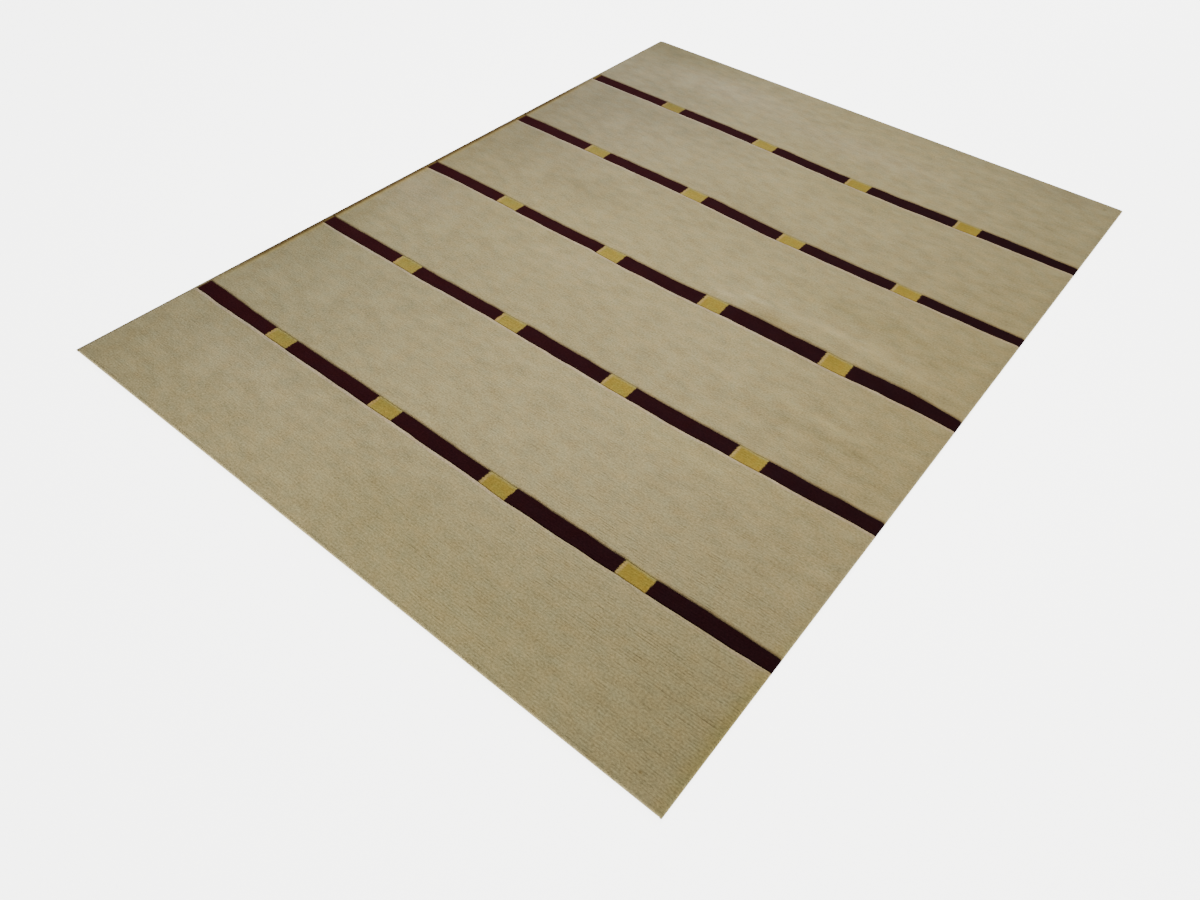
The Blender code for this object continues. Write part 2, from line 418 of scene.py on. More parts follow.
@dataclass
class PileSection:
    """One section of cut pile between two lines across the rug."""

    pile: Pile
    number: int
    near: EdgeLine
    far: EdgeLine
    near_finish: Finish
    far_finish: Finish
    near_dashes: tuple[Dash, ...] = ()
    far_dashes: tuple[Dash, ...] = ()
    dash_softness: float = 0.004
    column_width: float = 0.010
    samples_a_row: int = 5
    foot_rows: int = 16
    carving_depth: float = 0.0026
    carving_reach: float = 0.0040
    row_depth: float = 0.00014
    worn_row_depth: float = 0.00024
    swell: float = 0.00030
    broad_share: float = 0.7
    fine_share: float = 0.3
    row_wander: float = 0.22
    row_seed: int = 31
    row_run: float = 0.050
    opened: float = 0.75
    opened_unevenly: float = 1.1
    least_opened: float = 0.1

    @property
    def name(self) -> str:
        """Returns the piece's name."""
        return f"pile_{self.pile.name.lower()}_{self.number}"

    def columns(self) -> np.ndarray:
        """Returns the X of each column of points, closer together where the sides turn down."""
        left, right = BODY_LOW.x, BODY_HIGH.x
        turns = PILE_TURN * np.array(TURN_SHARES)
        count = round((right - left - 2 * PILE_TURN) / self.column_width)
        middle = np.linspace(left + PILE_TURN, right - PILE_TURN, count + 1)
        return np.concatenate((left + turns, middle, (right - turns)[::-1]))

    def shoulder(self, finish: Finish) -> np.ndarray:
        """Returns the distances in from a line at which its shoulder has rows of points."""
        reach = PILE_TURN if finish is Finish.TURNED else self.carving_reach
        return reach * np.array(SHOULDER_SHARES)

    def row_count(self) -> int:
        """Returns how many rows of knots the section has."""
        return max(round(self.mean_height() / ROW_PITCH), 1)

    def mean_height(self) -> float:
        """Returns the mean distance between the section's two lines."""
        x = self.columns()
        return float(np.mean(self.far.at(x) - self.near.at(x)))

    def shares(self) -> np.ndarray:
        """Returns each row of points as a share of the way from the near line to the far one."""
        height = self.mean_height()
        near = self.shoulder(self.near_finish) / height
        far = 1 - self.shoulder(self.far_finish)[::-1] / height
        inner = np.linspace(0, 1, self.row_count() * self.samples_a_row + 1)
        clear = (inner > near[-1] * CLEAR_OF_SHOULDER) & (inner < 1 - (1 - far[0]) * CLEAR_OF_SHOULDER)
        return np.concatenate((near, inner[clear], far))

    def shoulder_height(self, x: np.ndarray, y: np.ndarray) -> tuple[np.ndarray, np.ndarray]:
        """Works out how the pile falls away towards its borders.

        Args:
            x: Places across the rug.
            y: Places along the rug.

        Returns:
            The share of the pile's full height, and the depth of the carving.
        """
        side = rounded(x - BODY_LOW.x, PILE_TURN) * rounded(BODY_HIGH.x - x, PILE_TURN)
        share, depth = side, np.zeros(x.shape)
        borders = (
            (self.near_finish, y - self.near.at(x)),
            (self.far_finish, self.far.at(x) - y),
        )
        for finish, distance in borders:
            if finish is Finish.TURNED:
                share = share * rounded(distance, PILE_TURN)
            else:
                depth = depth + self.carving_depth * (1 - rounded(distance, self.carving_reach))
        return share, depth

    def row_wear(self, x: np.ndarray, y: np.ndarray) -> np.ndarray:
        """Returns how open the rows lie at each place, from 0 to 1: most towards the near right corner."""
        right = np.clip((x - WORN_FROM_X) / WORN_OVER_X, 0, 1)
        towards = right * np.clip((WORN_FROM_Y - y) / WORN_OVER_Y, 0, 1)
        cloudy = 0.5 + 0.5 * WEAR_CLOUDS.at(x, y)
        return np.clip(towards * (CORNER_WEAR + cloudy) + WEAR_ELSEWHERE * cloudy, 0, 1)

    def rows(self, x: np.ndarray, y: np.ndarray, share: np.ndarray) -> np.ndarray:
        """Returns each place's row of knots, a whole number in the gap between two hand-beaten rows."""
        return share * self.row_count() + self.row_wander * ROW_WANDER.at(x, y)

    def beside_gold(self, x: np.ndarray, dashes: tuple[Dash, ...]) -> np.ndarray:
        """Returns 1 at places beside a gold block of the next section, and 0 elsewhere."""
        inside = np.zeros(x.shape)
        for dash in dashes:
            depth = np.minimum(x - dash.start, dash.end - x) / self.dash_softness
            inside = np.maximum(inside, np.clip(0.5 + depth, 0, 1))
        return inside

    def from_groove(self, distance: np.ndarray, finish: Finish) -> np.ndarray:
        """Returns how far places lie from a carved groove, which the rug's own end doesn't have."""
        return distance if finish is Finish.CARVED else distance + NO_GROOVE

    def relief(self, x: np.ndarray, y: np.ndarray, row: np.ndarray) -> np.ndarray:
        """Works out the small relief of the cut pile.

        Args:
            x: Places across the rug.
            y: Places along the rug.
            row: Which row of knots each place is in.

        Returns:
            The height over the even pile.
        """
        gap = (0.5 + 0.5 * np.cos(2 * math.pi * row)) ** 2
        single = Unevenness(self.row_seed + self.number, self.row_run, 1.0).at(x, np.round(row))
        depth = self.row_depth + self.worn_row_depth * self.row_wear(x, y)
        opened = depth * np.clip(self.opened + self.opened_unevenly * single, self.least_opened, None)
        broad, fine = BROAD_SWELL.at(x, y), FINE_SWELL.at(x, y)
        return self.swell * (self.broad_share * broad + self.fine_share * fine) - opened * gap

    def top(self) -> tuple[np.ndarray, dict[str, np.ndarray]]:
        """Lays out the pile's upper surface.

        Returns:
            The points, row by row, and what the wool's look needs at each point: its place across and
            along the rows, how far it lies from the near and the far line, whether gold lies beyond
            each of them, how open the rows lie, and the pile's height.
        """
        x, share = np.meshgrid(self.columns(), self.shares())
        near, far = self.near.at(x), self.far.at(x)
        y = near + (far - near) * share
        row = self.rows(x, y, share)
        height, depth = self.shoulder_height(x, y)
        z = LIP_HEIGHT + (PILE_TOP - LIP_HEIGHT) * height - depth * height
        z = z + lift_at(x, y) + self.relief(x, y, row) * height
        points = np.stack((x, y, z), axis=-1)
        maps = {
            "rows": np.stack((x, row * ROW_PITCH), axis=-1),
            "borders": np.stack(
                (self.from_groove(y - near, self.near_finish), self.from_groove(far - y, self.far_finish)),
                axis=-1,
            ),
            "gold": np.stack(
                (self.beside_gold(x, self.near_dashes), self.beside_gold(x, self.far_dashes)), axis=-1
            ),
            "wear": np.stack((self.row_wear(x, y), height), axis=-1),
        }
        return points.reshape(-1, 3), {name: values.reshape(-1, 2) for name, values in maps.items()}

    def foot(self) -> np.ndarray:
        """Lays out the underside of the pile, on the foundation."""
        x, share = np.meshgrid(self.columns(), np.linspace(0, 1, self.foot_rows))
        near, far = self.near.at(x), self.far.at(x)
        y = near + (far - near) * share
        return np.stack((x, y, PILE_FOOT + lift_at(x, y)), axis=-1).reshape(-1, 3)

    def build(self) -> Piece:
        """Builds the section as one closed shell.

        Returns:
            The section's object.
        """
        top, maps = self.top()
        foot = self.foot()
        columns = len(self.columns())
        rows = len(self.shares())
        above = np.arange(rows * columns).reshape(rows, columns)
        below = np.arange(self.foot_rows * columns).reshape(self.foot_rows, columns) + rows * columns
        near_wall = np.stack((below[0, :-1], below[0, 1:], above[0, 1:], above[0, :-1]), axis=1)
        far_wall = np.stack((below[-1, 1:], below[-1, :-1], above[-1, :-1], above[-1, 1:]), axis=1)
        walls = np.concatenate((near_wall, far_wall)).tolist()
        walls.append(list(above[:, 0]) + list(below[::-1, 0]))
        walls.append(list(below[:, -1]) + list(above[::-1, -1]))
        upper = quads(rows, columns, 0).tolist()
        under = quads(self.foot_rows, columns, rows * columns)[:, ::-1].tolist()
        mesh = bpy.data.meshes.new(self.name)
        mesh.from_pydata(np.concatenate((top, foot)).tolist(), [], upper + under + walls)
        smooth = np.arange(len(mesh.polygons)) < len(upper)
        mesh.polygons.foreach_set("use_smooth", smooth)
        beneath = np.zeros((len(foot), 2))
        for name, values in maps.items():
            add_uv(mesh, name, np.concatenate((values, beneath)))
        mesh.validate()
        piece = bpy.data.objects.new(self.name, mesh)
        bpy.context.scene.collection.objects.link(piece)
        return piece

    def dress(self, piece: Piece, material: Material) -> None:
        """Gives the section its wool and puts it on the rug."""
        piece.data.materials.append(material)
        ride_along(piece, "rug_body")


@dataclass
class Foundation:
    """The knotted base of the rug, from which all its pile stands up."""

    name: str = "foundation"
    cells_across: int = 60
    cells_along: int = 90
    rim_radius: float = 0.0012
    rim_steps: int = 2

    def build(self) -> Piece:
        """Builds the base sheet.

        Returns:
            The sheet's object.
        """
        bpy.ops.object.select_all(action="DESELECT")
        bpy.ops.mesh.primitive_grid_add(
            x_subdivisions=self.cells_across, y_subdivisions=self.cells_along, size=1
        )
        piece = bpy.context.object
        piece.name = piece.data.name = self.name
        low_x = BODY_LOW.x + FOUNDATION_INSET
        high_x = BODY_HIGH.x - OVERHANG - FOUNDATION_INSET
        length = BODY_HIGH.y - BODY_LOW.y - 2 * FOUNDATION_INSET
        take_edit(piece)
        bpy.ops.mesh.select_all(action="SELECT")
        bpy.ops.transform.resize(value=(high_x - low_x, length, 1))
        bpy.ops.transform.translate(value=((low_x + high_x) / 2, 0, FOUNDATION_TOP))
        bpy.ops.object.mode_set(mode="OBJECT")
        thick = piece.modifiers.new("thickness", "SOLIDIFY")
        thick.thickness = FOUNDATION_TOP
        thick.offset = -1
        bpy.ops.object.modifier_apply(modifier=thick.name)
        rim = piece.modifiers.new("rim", "BEVEL")
        rim.width = self.rim_radius
        rim.segments = self.rim_steps
        bpy.ops.object.modifier_apply(modifier=rim.name)
        points = mesh_points(piece.data)
        points[:, 2] += lift_at(points[:, 0], points[:, 1])
        set_mesh_points(piece.data, points)
        piece.data.shade_smooth()
        return piece

    def dress(
        self, piece: Piece, material: Material, pile: list[Piece]
    ) -> None:
        """Gives the base its look and puts it on the rug.

        Args:
            piece: The base sheet.
            material: The look of its back.
            pile: The sections of pile that stand on it; not used.
        """
        piece.data.materials.append(material)
        ride_along(piece, "rug_body")


class Side(Enum):
    """A long side of the rug, by the CAD node of its overcast edge."""

    LEFT = "selvedge_left"
    RIGHT = "selvedge_right"


@dataclass
class OvercastEdge:
    """The yarn wrapped over the edge cord along one long side."""

    side: Side
    wrap_pitch: float = 0.0030
    stations_a_wrap: int = 3
    points_around: int = 8
    wrap_height: float = 0.00022
    squareness: float = 0.75
    weld: float = 0.00001

    def build(self) -> Piece:
        """Builds the wrapped cord from a grid rolled into a tube.

        Returns:
            The cord's object.
        """
        low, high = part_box(self.side.value)
        stations = round((high.y - low.y) / self.wrap_pitch) * self.stations_a_wrap
        bpy.ops.object.select_all(action="DESELECT")
        bpy.ops.mesh.primitive_grid_add(
            x_subdivisions=self.points_around, y_subdivisions=stations, size=1
        )
        piece = bpy.context.object
        piece.name = piece.data.name = self.side.name.lower() + "_overcast_edge"
        flat = mesh_points(piece.data)
        turn = (0.5 - flat[:, 0]) * 2 * math.pi
        along = low.y + (flat[:, 1] + 0.5) * (high.y - low.y)
        middle_x, middle_z = (low.x + high.x) / 2, (low.z + high.z) / 2
        wraps = along / self.wrap_pitch + turn / (2 * math.pi)
        inset = self.wrap_height * (0.5 - 0.5 * np.cos(2 * math.pi * wraps))
        across = np.sign(np.cos(turn)) * np.abs(np.cos(turn)) ** self.squareness
        upright = np.sign(np.sin(turn)) * np.abs(np.sin(turn)) ** self.squareness
        x = middle_x + ((high.x - low.x) / 2 - inset) * across
        z = middle_z + ((high.z - low.z) / 2 - inset) * upright
        set_mesh_points(piece.data, np.stack((x, along, z), axis=-1))
        add_uv(piece.data, "wraps", np.stack((turn / (2 * math.pi), wraps), axis=-1))
        take_edit(piece)
        bpy.ops.mesh.select_all(action="SELECT")
        bpy.ops.mesh.remove_doubles(threshold=self.weld)
        bpy.ops.mesh.fill_holes(sides=0)
        bpy.ops.mesh.normals_make_consistent(inside=False)
        bpy.ops.object.mode_set(mode="OBJECT")
        piece.data.shade_smooth()
        return piece

    def dress(self, piece: Piece, material: Material) -> None:
        """Gives the cord its yarn and puts it on the rug."""
        piece.data.materials.append(material)
        ride_along(piece, self.side.value)


class NoiseScale(NamedTuple):
    """A noise that differs across and along the rows: its cells a unit each way, and its detail."""

    name: str
    across: float
    along: float
    detail: float


SHADE_SCALES = (
    NoiseScale("Cloud", 3.2, 3.2, 3.0),
    NoiseScale("Mottle", 14.0, 30.0, 3.0),
    NoiseScale("Streak", 30.0, 240.0, 1.0),
    NoiseScale("Fleck", 190.0, 250.0, 2.0),
)
WARMTH_SCALE = NoiseScale("Warmth", 31.0, 37.0, 2.0)

# How much red gains and green loses for each share that warmth takes from blue.
WARMTH_RED = 0.45
WARMTH_GREEN = -0.25


class GapRun(NamedTuple):
    """How stretches of painted shade lie in the gaps: their noise, and between which of its values they
    darken.
    """

    run: float
    spread: float
    detail: float
    low: float
    high: float


SHORT_GAPS = GapRun(run=42.0, spread=7.31, detail=1.0, low=-0.5, high=1.0)
LONG_GAPS = GapRun(run=8.0, spread=5.17, detail=2.0, low=0.25, high=0.80)

# A gap's width as a share of a row, and how far the short stretches open where the pile isn't worn.
GAP_WIDTH = 0.26
OPEN_UNWORN = 0.4

# How closely tufts, fibres and the pile's lean follow one another, and how far the noise is spread out.
TUFTS_A_METRE = 340.0
FIBRES_A_METRE = 1300.0
LIE_A_METRE = 24.0
NOISE_SPREAD = 4.0


class Wiring:
    """Adds nodes to a tree and joins them."""

    def __init__(self, tree: Tree) -> None:
        """Keeps the tree to work on."""
        self.tree = tree

    def node(self, kind: str, **settings: object) -> bpy.types.Node:
        """Adds a node.

        Args:
            kind: The node's type name.
            **settings: Values of the node's own settings.

        Returns:
            The node.
        """
        made = self.tree.nodes.new(kind)
        for name, value in settings.items():
            setattr(made, name, value)
        return made

    def feed(self, socket: Socket, value: Signal) -> None:
        """Joins a signal to a socket, or sets the socket to a value."""
        if isinstance(value, Socket):
            self.tree.links.new(value, socket)
        elif isinstance(value, tuple) and len(value) == 3 and socket.type == "RGBA":
            socket.default_value = (*value, 1.0)
        else:
            socket.default_value = value

    def math(self, operation: str, *values: Signal, clamp: bool = False) -> Socket:
        """Adds a Math node on up to three signals and returns its result."""
        made = self.node("ShaderNodeMath", operation=operation, use_clamp=clamp)
        for socket, value in zip(made.inputs, values):
            self.feed(socket, value)
        return made.outputs[0]

    def times(self, first: Signal, second: Signal) -> Socket:
        """Returns the product of two signals."""
        return self.math("MULTIPLY", first, second)

    def minus(self, first: Signal, second: Signal) -> Socket:
        """Returns the first signal less the second."""
        return self.math("SUBTRACT", first, second)

    def fade(self, value: Signal, low: Signal, high: Signal) -> Socket:
        """Carries a signal smoothly from 1 down to 0 between two values."""
        return self.ramp(value, low, high, 1.0, 0.0)

    def vector(self, operation: str, *values: Signal) -> Socket:
        """Adds a Vector Math node and returns its result, a number for LENGTH and a vector otherwise."""
        made = self.node("ShaderNodeVectorMath", operation=operation)
        slots = [made.inputs[0], made.inputs["Scale"]] if operation == "SCALE" else made.inputs
        for socket, value in zip(slots, values):
            self.feed(socket, value)
        return made.outputs["Value" if operation == "LENGTH" else "Vector"]

    def ramp(self, value: Signal, low: float, high: float, start: float, end: float) -> Socket:
        """Carries a signal smoothly from one range to another.

        Args:
            value: The signal.
            low: Where the change starts.
            high: Where the change ends.
            start: The result up to low.
            end: The result from high on.

        Returns:
            The result.
        """
        made = self.node("ShaderNodeMapRange", interpolation_type="SMOOTHSTEP")
        for name, part in zip(
            ("Value", "From Min", "From Max", "To Min", "To Max"), (value, low, high, start, end)
        ):
            self.feed(made.inputs[name], part)
        return made.outputs[0]

    def mix(self, share: Signal, first: Signal, second: Signal, kind: str = "MIX") -> Socket:
        """Adds a colour mix and returns its result."""
        made = self.node("ShaderNodeMix", data_type="RGBA", blend_type=kind)
        made.clamp_factor = True
        self.feed(made.inputs[0], share)
        self.feed(made.inputs[6], first)
        self.feed(made.inputs[7], second)
        return made.outputs[2]

    def noise(self, place: Signal, scale: float, detail: float) -> Socket:
        """Adds a noise texture and returns it as a signal from about -1 to 1."""
        made = self.node("ShaderNodeTexNoise", noise_dimensions="3D")
        self.feed(made.inputs["Vector"], place)
        made.inputs["Scale"].default_value = scale
        made.inputs["Detail"].default_value = detail
        made.inputs["Roughness"].default_value = 0.5
        return self.math("MULTIPLY_ADD", made.outputs["Fac"], NOISE_SPREAD, -NOISE_SPREAD / 2)

    def stretched_noise(self, place: Signal, scale: NoiseScale) -> Socket:
        """Adds a noise with a scale of its own each way."""
        return self.noise(self.vector("MULTIPLY", place, (scale.across, scale.along, 1.0)), 1.0, scale.detail)

    def group(self, tree: Tree, **inputs: Signal) -> Socket:
        """Places a shader group with its own values and returns its first output.

        Args:
            tree: The group.
            **inputs: The group's inputs, with an underscore for each space in a name.

        Returns:
            The group's first output.
        """
        made = self.node("ShaderNodeGroup")
        made.node_tree = tree
        for name, value in inputs.items():
            self.feed(made.inputs[name.replace("_", " ")], value)
        return made.outputs[0]


class ShaderGroups:
    """The effects that more than one wool shares, each a node group that is built once."""

    def __init__(self) -> None:
        """Builds every group."""
        self.shade = self.build_shade()
        self.gaps = self.build_gap_shade()
        self.patch = self.build_patch()
        self.dash = self.build_dash()
        self.tufts = self.build_tufts()

    @staticmethod
    def start(
        name: str, output: tuple[str, str], **inputs: tuple[str, ...]
    ) -> tuple[Wiring, bpy.types.Node, bpy.types.Node]:
        """Starts a group.

        Args:
            name: The group's name.
            output: The kind and name of the output.
            **inputs: The names of the inputs of each kind.

        Returns:
            The group's wiring, its input node and its output node.
        """
        tree = bpy.data.node_groups.new(name, "ShaderNodeTree")
        sockets = [("INPUT", kind, label) for kind, labels in inputs.items() for label in labels]
        for way, kind, label in (*sockets, ("OUTPUT", *output)):
            tree.interface.new_socket(name=label, in_out=way, socket_type=f"NodeSocket{kind}")
        wiring = Wiring(tree)
        return wiring, wiring.node("NodeGroupInput"), wiring.node("NodeGroupOutput")

    def build_shade(self) -> Tree:
        """Builds the group that varies a wool's colour, from broad clouds down to single knots.

        Returns:
            The group, which puts out a colour.
        """
        wiring, given, result = self.start(
            "wool shade",
            ("Color", "Color"),
            Vector=("Rows",),
            Color=("Wool",),
            Float=("Cloud", "Mottle", "Streak", "Fleck", "Warmth"),
        )
        place = given.outputs["Rows"]
        total: Signal = 1.0
        for scale in SHADE_SCALES:
            change = wiring.stretched_noise(place, scale)
            total = wiring.math("MULTIPLY_ADD", change, given.outputs[scale.name], total)
        shaded = wiring.vector("SCALE", given.outputs["Wool"], total)
        warmth = wiring.times(wiring.stretched_noise(place, WARMTH_SCALE), given.outputs["Warmth"])
        tint = wiring.node("ShaderNodeCombineXYZ")
        wiring.feed(tint.inputs[0], wiring.math("MULTIPLY_ADD", warmth, WARMTH_RED, 1.0))
        wiring.feed(tint.inputs[1], wiring.math("MULTIPLY_ADD", warmth, WARMTH_GREEN, 1.0))
        wiring.feed(tint.inputs[2], wiring.minus(1.0, warmth))
        wiring.feed(result.inputs[0], wiring.vector("MULTIPLY", shaded, tint.outputs[0]))
        return wiring.tree

    def build_gap_shade(self) -> Tree:
        """Builds the group that paints shade in the row gaps: short ones all over, long worn ones in places.

        Returns:
            The group, which puts out what the wool's colour is multiplied by.
        """
        wiring, given, result = self.start(
            "row gap shade", ("Float", "Light"), Vector=("Rows",), Float=("Wear", "Short", "Long")
        )
        parts = wiring.node("ShaderNodeSeparateXYZ")
        wiring.feed(parts.inputs[0], given.outputs["Rows"])
        row = wiring.math("DIVIDE", parts.outputs["Y"], ROW_PITCH)
        gap = wiring.math("ROUND", row)
        away = wiring.math("ABSOLUTE", wiring.minus(row, gap))
        line = wiring.fade(away, 0.0, GAP_WIDTH)
        short = wiring.times(self.stretches(wiring, parts, gap, SHORT_GAPS), given.outputs["Short"])
        long = wiring.times(self.stretches(wiring, parts, gap, LONG_GAPS), given.outputs["Long"])
        open_share = wiring.math("MULTIPLY_ADD", given.outputs["Wear"], 1 - OPEN_UNWORN, OPEN_UNWORN)
        worn_long = wiring.times(long, given.outputs["Wear"])
        depth = wiring.math("MULTIPLY_ADD", short, open_share, worn_long)
        wiring.feed(result.inputs[0], wiring.minus(1.0, wiring.times(depth, line)))
        return wiring.tree

    @staticmethod
    def stretches(wiring: Wiring, parts: bpy.types.Node, gap: Signal, lie: GapRun) -> Socket:
        """Lays stretches of painted shade along the gaps, each gap on its own line through a noise.

        Args:
            wiring: The group's wiring.
            parts: The node that parts the place on the rows.
            gap: The gap's number.
            lie: How the stretches lie.

        Returns:
            The stretches, from 0 to 1.
        """
        place = wiring.node("ShaderNodeCombineXYZ")
        wiring.feed(place.inputs[0], wiring.times(parts.outputs["X"], lie.run))
        wiring.feed(place.inputs[1], wiring.times(gap, lie.spread))
        return wiring.ramp(wiring.noise(place.outputs[0], 1.0, lie.detail), lie.low, lie.high, 0.0, 1.0)

    def build_patch(self) -> Tree:
        """Builds the group that masks one soft round patch.

        Returns:
            The group, which puts out a mask.
        """
        wiring, given, result = self.start(
            "soft patch", ("Float", "Mask"), Vector=("Position", "Centre", "Reach")
        )
        offset = wiring.vector("SUBTRACT", given.outputs["Position"], given.outputs["Centre"])
        scaled = wiring.vector("DIVIDE", offset, given.outputs["Reach"])
        distance = wiring.vector("LENGTH", scaled)
        wiring.feed(result.inputs[0], wiring.fade(distance, 0.0, 1.0))
        return wiring.tree

    def build_dash(self) -> Tree:
        """Builds the group that masks one block along a band.

        Returns:
            The group, which puts out a mask.
        """
        wiring, given, result = self.start(
            "dash", ("Float", "Mask"), Float=("Along", "Start", "End", "Softness")
        )
        past_start = wiring.minus(given.outputs["Along"], given.outputs["Start"])
        before_end = wiring.minus(given.outputs["End"], given.outputs["Along"])
        inside = wiring.math("MINIMUM", past_start, before_end)
        share = wiring.math("DIVIDE", inside, given.outputs["Softness"])
        wiring.feed(result.inputs[0], wiring.ramp(share, -1.0, 1.0, 0.0, 1.0))
        return wiring.tree

    def build_tufts(self) -> Tree:
        """Builds the group that raises single knots' tufts in their rows, with fibres on them.

        Returns:
            The group, which puts out a height.
        """
        wiring, given, result = self.start(
            "tufts", ("Float", "Height"), Vector=("Rows",), Float=("Tuft", "Fibre")
        )
        rows = given.outputs["Rows"]
        cells = wiring.node("ShaderNodeTexVoronoi", voronoi_dimensions="2D", feature="SMOOTH_F1")
        wiring.feed(cells.inputs["Vector"], rows)
        cells.inputs["Scale"].default_value = TUFTS_A_METRE
        cells.inputs["Randomness"].default_value = 0.7
        cells.inputs["Smoothness"].default_value = 0.4
        fibres = wiring.noise(rows, FIBRES_A_METRE, 2.0)
        domes = wiring.minus(1.0, cells.outputs["Distance"])
        height = wiring.times(domes, given.outputs["Tuft"])
        height = wiring.math("MULTIPLY_ADD", fibres, given.outputs["Fibre"], height)
        wiring.feed(result.inputs[0], height)
        return wiring.tree


@dataclass(frozen=True)
class Depth:
    """How strongly a wool's colour varies at each scale, with the painted gap shade, as shares of the colour.
    """

    cloud: float
    mottle: float
    streak: float
    fleck: float
    warmth: float
    short_gap_shade: float
    long_gap_shade: float


class Wool(Wiring):
    """A wool material on its way: the wiring of its shader, and what the pile's own maps tell it."""

    def __init__(self, name: str, specular: float) -> None:
        """Starts the material.

        Args:
            name: The material's name.
            specular: How much light the fibres mirror.
        """
        self.material = bpy.data.materials.new(name)
        self.material.use_nodes = True
        super().__init__(self.material.node_tree)
        self.shader = self.material.node_tree.nodes["Principled BSDF"]
        self.shader.inputs["Specular IOR Level"].default_value = specular
        self.place = self.node("ShaderNodeTexCoord").outputs["Object"]
        self.x, self.y = self.split(self.place)

    def uv(self, name: str) -> Socket:
        """Returns the place in one of the piece's UV maps."""
        return self.node("ShaderNodeUVMap", uv_map=name).outputs["UV"]

    def split(self, place: Socket) -> tuple[Socket, Socket]:
        """Returns the first two coordinates of a place."""
        parts = self.node("ShaderNodeSeparateXYZ")
        self.feed(parts.inputs[0], place)
        return parts.outputs["X"], parts.outputs["Y"]

    def dark_side_stretch(self) -> Socket:
        """Masks the middle stretch of the long sides, where their ochre and its painted shade are darkest."""
        away = self.math("ABSOLUTE", self.minus(self.y, DARK_SIDE_MIDDLE))
        return self.fade(away, DARK_SIDE_FADES_FROM, DARK_SIDE_FADED_AT)

    def beside_left(self, full: float, none: float) -> Socket:
        """Masks a strip along the pile's left side, white as far in as full and black from none on."""
        return self.fade(self.x, BODY_LOW.x + full, BODY_LOW.x + none)

    def tinted(self, mask: Signal, colour: Signal, tint: Signal) -> Socket:
        """Returns a colour multiplied by a tint where a mask is white."""
        return self.mix(mask, colour, self.mix(1.0, colour, tint, "MULTIPLY"))

    def patched(
        self, groups: ShaderGroups, colour: Signal, patches: tuple[SoftPatch, ...]
    ) -> Socket:
        """Lays soft patches over a colour.

        Args:
            groups: The shared shader groups.
            colour: The colour.
            patches: The patches.

        Returns:
            The colour with the patches on it.
        """
        for patch in patches:
            mask = self.group(
                groups.patch,
                Position=self.place,
                Centre=(patch.x, patch.y, 0.0),
                Reach=(patch.reach_x, patch.reach_y, 1.0),
            )
            colour = self.tinted(mask, colour, patch.tint)
        return colour

    def roughen(self, least: float, most: float) -> None:
        """Lets the roughness drift between two values, as pile that lies one way or the other does."""
        drift = self.noise(self.place, LIE_A_METRE, 1.0)
        self.feed(self.shader.inputs["Roughness"], self.ramp(drift, -1.0, 1.0, least, most))

    def raise_bump(self, height: Socket, strength: float, depth: float) -> None:
        """Gives the shader a bump.

        Args:
            height: The height signal.
            strength: The bump's strength.
            depth: The depth in metres that the signal's full range stands for.
        """
        bump = self.node("ShaderNodeBump")
        bump.inputs["Strength"].default_value = strength
        bump.inputs["Distance"].default_value = depth
        self.feed(bump.inputs["Height"], height)
        self.feed(self.shader.inputs["Normal"], bump.outputs["Normal"])

    def finish_pile(self, groups: ShaderGroups, colour: Signal, depth: Depth) -> Material:
        """Finishes a cut pile: varies its colour, paints shade into its row gaps and raises its tufts.

        Args:
            groups: The shared shader groups.
            colour: The wool's colour.
            depth: How strongly the colour varies.

        Returns:
            The material.
        """
        rows = self.uv("rows")
        wear, _ = self.split(self.uv("wear"))
        evenness = self.ramp(wear, low=0.1, high=0.8, start=1.0, end=0.4)
        crispness = self.ramp(self.y, BODY_LOW.y, BODY_HIGH.y, start=1.2, end=0.6)
        # Painted shade in the gaps between the rows.
        gaps = self.group(
            groups.gaps, Rows=rows, Wear=wear, Short=depth.short_gap_shade, Long=depth.long_gap_shade
        )
        shaded = self.group(
            groups.shade,
            Rows=rows,
            Wool=colour,
            Cloud=depth.cloud,
            Mottle=self.times(evenness, depth.mottle),
            Streak=depth.streak,
            Fleck=self.times(crispness, depth.fleck),
            Warmth=depth.warmth,
        )
        self.feed(self.shader.inputs["Base Color"], self.vector("SCALE", shaded, gaps))
        self.roughen(least=0.86, most=1.0)
        tufts = self.group(groups.tufts, Rows=rows, Tuft=1.0, Fibre=0.25)
        self.raise_bump(tufts, strength=0.6, depth=0.0006)
        return self.material
